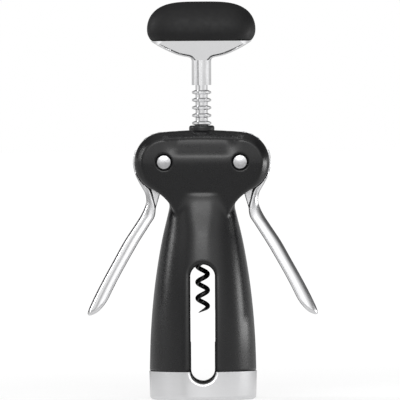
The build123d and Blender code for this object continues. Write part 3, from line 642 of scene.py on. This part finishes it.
# name, colour, roughness, grain per metre, relief in millimetres, and swing or run
FINISHES = {
    "body_black": moulded("body_black", (0.0095, 0.0095, 0.0103), 0.28, 2600.0, 0.002, 0.015,
                          Specular_IOR_Level=0.42),
    "soft_grip": moulded("soft_grip", (0.0075, 0.0075, 0.008), 0.57, 2000.0, 0.012,
                         Specular_IOR_Level=0.36),
    "bush_nylon": moulded("bush_nylon", (0.013, 0.013, 0.014), 0.33, 2500.0, 0.008),
    "guide_nylon": moulded("guide_nylon", (0.012, 0.012, 0.013), 0.45, 2200.0, 0.012),
    "washer_nylon": moulded("washer_nylon", (0.75, 0.74, 0.70), 0.45, 2200.0, 0.01),
    "coated_wire": moulded("coated_wire", (0.012, 0.012, 0.013), 0.34, 3000.0, 0.01),
    "satin_metal": plated("satin_metal", (0.80, 0.80, 0.81), 0.24, 60.0, 0.006,
                          (0.25, 0.25, 60.0)),
    "wing_metal": plated("wing_metal", (0.78, 0.78, 0.79), 0.22, 120.0, 0.0002, (1.5, 1.0, 0.2)),
    "polished_metal": plated("polished_metal", (0.82, 0.82, 0.83), 0.11, 500.0, 0.001,
                             (1.0, 1.0, 0.4)),
    "pin_steel": plated("pin_steel", (0.6, 0.6, 0.61), 0.25, 900.0, 0.006),
    "rivet_metal": turned_metal("rivet_metal", (0.56, 0.56, 0.57), 0.36),
}
NODE_FINISH = {
    "body_shell": "body_black", "base_ring": "satin_metal", "bottle_guide": "guide_nylon",
    "collar_bush": "bush_nylon", "rack_spindle": "polished_metal", "worm": "coated_wire",
    "worm_pin": "pin_steel", "knob_bracket": "polished_metal", "knob_core": "guide_nylon",
    "knob_screws": "pin_steel", "knob_grip": "soft_grip",
    "wing_left": "wing_metal", "wing_right": "wing_metal",
    "thrust_washers_left": "washer_nylon", "thrust_washers_right": "washer_nylon",
    "pivot_rivet_left": "rivet_metal", "pivot_rivet_right": "rivet_metal",
    "rivet_cap_left": "rivet_metal", "rivet_cap_right": "rivet_metal",
}


def dress(piece, finish):
    """Gives every face of a piece one finish."""
    piece.data.materials.clear()
    piece.data.materials.append(FINISHES[finish])
    piece.data.polygons.foreach_set("material_index", [0] * len(piece.data.polygons))


for node_name, finish_name in NODE_FINISH.items():
    dress(frame["nodes"][node_name], finish_name)


# --- lamps --------------------------------------------------------------------
MIDDLE = Vector((0, 0, 0.095))                       # of the object, in metres


def softbox(name, azimuth, elevation, distance, width, height, watts):
    """An area lamp aimed at the object; degrees, with azimuth 0 in front, metres and watts."""
    lamp = bpy.data.lights.new(name, "AREA")
    lamp.shape = "RECTANGLE"
    lamp.size, lamp.size_y, lamp.energy = width, height, watts
    box = placed(name, lamp)
    a, e = math.radians(azimuth), math.radians(elevation)
    way = Vector((math.sin(a) * math.cos(e), -math.cos(a) * math.cos(e), math.sin(e)))
    box.location = MIDDLE + way * distance
    box.rotation_mode = "QUATERNION"
    box.rotation_quaternion = way.to_track_quat("Z", "Y")
    box.visible_camera = False


softbox("side_left", -99, 22, 1.2, 0.22, 0.60, 2.9)
softbox("edge_right", 102, -2.5, 0.35, 0.17, 0.08, 0.30)
softbox("key_front", -3, 26, 1.3, 0.80, 0.40, 4.2)


# --- world: what the surfaces mirror, by heading ------------------------------
world = bpy.data.worlds.new("studio")
bpy.context.scene.world = world
world.use_nodes = True
sky = world.node_tree
for old in list(sky.nodes):
    sky.nodes.remove(old)


def ramp(value, start, end, low, high):
    """A value carried from one range to another, smooth at both ends."""
    return add_node(sky, "ShaderNodeMapRange", {"Value": value, "From Min": start, "From Max": end,
                                                "To Min": low, "To Max": high},
                    interpolation_type="SMOOTHSTEP").outputs[0]


def arithmetic(operation, *values):
    return add_node(sky, "ShaderNodeMath", dict(enumerate(values)), operation=operation).outputs[0]


def blend(factor, a, b):
    return add_node(sky, "ShaderNodeMix", {"Factor": factor, "A": a, "B": b},
                    data_type="FLOAT").outputs[0]


def mound(value, centre, flat, foot, height):
    """A rounded step of a given height, level out to flat and gone at foot."""
    away = arithmetic("ABSOLUTE", arithmetic("SUBTRACT", value, centre))
    return ramp(away, flat, foot, height, 0.0)


def patch(across, rise):
    """A soft bright patch, from a mound in heading X and one in heading Z."""
    return arithmetic("MULTIPLY", mound(heading["X"], *across), mound(heading["Z"], *rise))


ray = add_node(sky, "ShaderNodeLightPath").outputs
heading = add_node(sky, "ShaderNodeSeparateXYZ", {
    0: add_node(sky, "ShaderNodeTexCoord").outputs["Generated"]}).outputs

# Ranges are in the heading's parts, X to the right, Y to the back and Z up, from -1 to 1. Levels
# are strengths, where 1 is white. A mound is its centre, flat and foot in such a part, and height.
FRONT = (0.15, -0.30)                                # in Y, from behind to the front
BAND_FRONT, BAND_LEVELS = (0.30, -0.10), (0.70, 1.25)
BAND_GAPS = ((-0.66, 0.05, 0.11, 0.90), (-0.88, 0.03, 0.10, 0.20), (0.50, 0.20, 0.38, 0.20))
BAND_TOP = (0.05, 0.13)                              # in Z
WIDE_PATCH = ((0.12, 0.35, 0.85, 1.2), (0.28, 0.16, 0.30, 1.0))
LEFT_PATCH = ((-0.80, 0.06, 0.16, 0.8), (0.50, 0.15, 0.30, 1.0))
OVERHEAD, OVERHEAD_LEVELS = (0.65, 0.90), (0.34, 1.2)
BEHIND_SHARE = 0.3             # what is left of those levels behind the object
DIFFUSE_LIGHT, WHITE = 0.5, 1.0

# a bright band all round the horizon, with a dark gap in front on the left and two faint ones
ahead = ramp(heading["Y"], *FRONT, 0.0, 1.0)
band = ramp(heading["Y"], *BAND_FRONT, *BAND_LEVELS)
for gap in BAND_GAPS:
    shade = arithmetic("MULTIPLY", mound(heading["X"], *gap), ahead)
    band = arithmetic("MULTIPLY", band, arithmetic("SUBTRACT", 1.0, shade))

# above it a wide soft patch and a narrow one in front, dim elsewhere and brighter overhead
patches = arithmetic("ADD", patch(*WIDE_PATCH), patch(*LEFT_PATCH))
upper = arithmetic("MULTIPLY", ramp(heading["Z"], *OVERHEAD, *OVERHEAD_LEVELS),
                   ramp(heading["Y"], *FRONT, BEHIND_SHARE, 1.0))
upper = arithmetic("MULTIPLY_ADD", patches, ahead, upper)

# that is what mirrors show; the camera and glass see plain white, and the rest gets even light
mirrored = blend(ramp(heading["Z"], *BAND_TOP, 1.0, 0.0), upper, band)
unseen = blend(ray["Is Glossy Ray"], DIFFUSE_LIGHT, mirrored)
seen = arithmetic("MAXIMUM", ray["Is Camera Ray"], ray["Is Transmission Ray"])
backdrop = add_node(sky, "ShaderNodeBackground", {"Color": (1, 1, 1, 1),
                                                  "Strength": blend(seen, unseen, WHITE)})
add_node(sky, "ShaderNodeOutputWorld", {"Surface": backdrop.outputs[0]})

# --- floor: white to the camera, with the object's shadow ---------------------
FLOOR_HALF = 9.0                                     # metres, like the two ranges below
MIRROR_NEAR, MIRROR_FAR, MIRROR_GLOW = 0.15, 0.40, 0.4    # glow that only mirrors see
GLOW_NEAR, GLOW_FAR = 0.2, 0.9
GLOW_LOW, GLOW_HIGH = 0.60, 0.76                     # glow that the camera and glass see

floor_mesh = bpy.data.meshes.new("floor")
floor_mesh.from_pydata([(-FLOOR_HALF, -FLOOR_HALF, 0), (FLOOR_HALF, -FLOOR_HALF, 0),
                        (FLOOR_HALF, FLOOR_HALF, 0), (-FLOOR_HALF, FLOOR_HALF, 0)],
                       [], [(0, 1, 2, 3)])
floor = placed("floor", floor_mesh)
floor_finish = Finish("floor_white", (0.55, 0.55, 0.55), 0.9, Specular_IOR_Level=0.0)
floor_finish.mottle(floor_finish.noise(3.0), light=1.01, dark=0.99)
floor_finish.gloss(floor_finish.noise(6.0), swing=0.02)
floor_ray = floor_finish.node("ShaderNodeLightPath").outputs
reach = floor_finish.node("ShaderNodeVectorMath", {0: floor_finish.place},
                          operation="LENGTH").outputs["Value"]
mirror_glow = floor_finish.spread(reach, MIRROR_NEAR, MIRROR_FAR, MIRROR_GLOW, 0.0)
mirror_glow = floor_finish.arithmetic("MULTIPLY", floor_ray["Is Glossy Ray"], mirror_glow)
floor_seen = floor_finish.arithmetic("MAXIMUM", floor_ray["Is Camera Ray"],
                                     floor_ray["Is Transmission Ray"])
glow = floor_finish.spread(reach, GLOW_NEAR, GLOW_FAR, GLOW_LOW, GLOW_HIGH)
glow = floor_finish.arithmetic("MULTIPLY_ADD", floor_seen, glow, mirror_glow)
floor_finish.link(glow, "Emission Strength")
floor_finish.shader.inputs["Emission Color"].default_value = (1, 1, 1, 1)
floor_mesh.materials.append(floor_finish.material)

# --- camera -------------------------------------------------------------------
CAMERA_PLACE, CAMERA_AIM = Vector((0.0, -5.44, 0.19)), Vector((-0.00103, 0.0, 0.0956))
CAMERA_ROLL = math.radians(-0.32)

lens = bpy.data.cameras.new("view")
lens.lens, lens.sensor_width, lens.clip_end = 1020.0, 36.0, 50.0
camera = placed("view", lens)
camera.location = CAMERA_PLACE
camera.rotation_mode = "QUATERNION"
camera.rotation_quaternion = ((CAMERA_AIM - CAMERA_PLACE).to_track_quat("-Z", "Y")
                              @ Quaternion((0, 0, 1), CAMERA_ROLL))
bpy.context.scene.camera = camera
bpy.context.scene.view_settings.view_transform = "Standard"

make_body()
make_wings()
make_grip()
